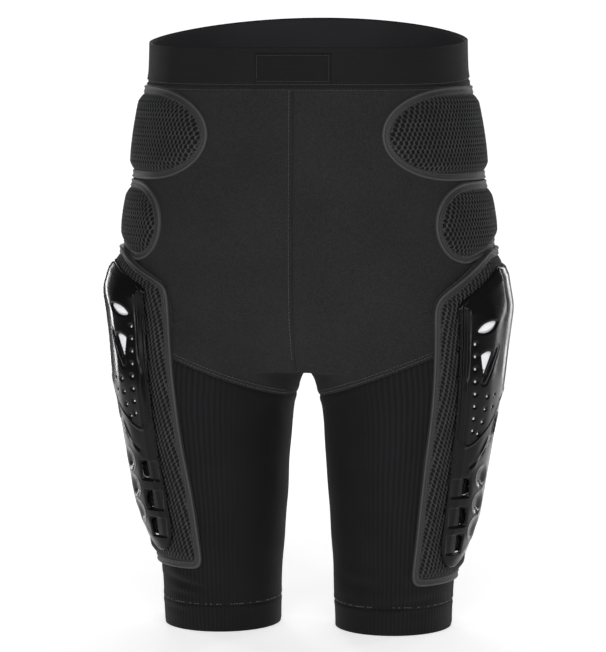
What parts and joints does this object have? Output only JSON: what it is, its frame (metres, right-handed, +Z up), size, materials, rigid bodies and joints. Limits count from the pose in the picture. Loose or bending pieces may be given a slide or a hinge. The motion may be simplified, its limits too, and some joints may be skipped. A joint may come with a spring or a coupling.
{
  "type": "padded impact shorts",
  "caption": "Stretch shorts with sewn-on hip, tailbone and thigh pads and hard vented thigh shells, in the shape they take on the body.",
  "frame": {"origin": "on the floor, on the centre plane, midway between the foremost and rearmost points", "axes": "+Z up; the front faces -Y; +X is the wearer's left"},
  "size_m": [0.3726, 0.2394, 0.555],
  "materials": {
    "brief_fabric": "matte warm-black stretch twill",
    "rib_fabric": "matte blue-black ribbed stretch knit",
    "band_elastic": "flat woven elastic, matte black",
    "lining": "smooth black tricot",
    "spacer_mesh": "dark grey spacer mesh with round holes",
    "guard_mesh": "coarse dark grey knitted mesh",
    "binding": "black tape with twin stitch lines",
    "foam": "closed-cell foam",
    "white_foam": "white closed-cell foam",
    "shell": "moulded black plastic, satin to gloss",
    "label": "plain woven patch"
  },
  "bodies": {
    "root": {"brief_back_left": "brief_fabric", "brief_back_right": "brief_fabric", "brief_front_left": "brief_fabric", "brief_front_right": "brief_fabric", "hem_band_left": "rib_fabric", "hem_band_right": "rib_fabric", "leg_back_left": "rib_fabric", "leg_back_right": "rib_fabric", "leg_front_left": "rib_fabric", "leg_front_right": "rib_fabric", "lower_hip_pad_binding_left": "binding", "lower_hip_pad_binding_right": "binding", "lower_hip_pad_cover_left": "spacer_mesh", "lower_hip_pad_cover_right": "spacer_mesh", "lower_hip_pad_foam_left": "foam", "lower_hip_pad_foam_right": "foam", "tailbone_pad_binding": "binding", "tailbone_pad_cover": "spacer_mesh", "tailbone_pad_foam": "foam", "thigh_insert_left": "white_foam", "thigh_insert_right": "white_foam", "thigh_pad_binding_left": "binding", "thigh_pad_binding_right": "binding", "thigh_pad_cover_left": "guard_mesh", "thigh_pad_cover_right": "guard_mesh", "thigh_pad_foam_left": "foam", "thigh_pad_foam_right": "foam", "thigh_shell_left": "shell", "thigh_shell_right": "shell", "upper_hip_pad_binding_left": "binding", "upper_hip_pad_binding_right": "binding", "upper_hip_pad_cover_left": "spacer_mesh", "upper_hip_pad_cover_right": "spacer_mesh", "upper_hip_pad_foam_left": "foam", "upper_hip_pad_foam_right": "foam", "waist_label": "label", "waistband": "band_elastic", "waistband_lining": "lining"}
  },
  "joints": []
}
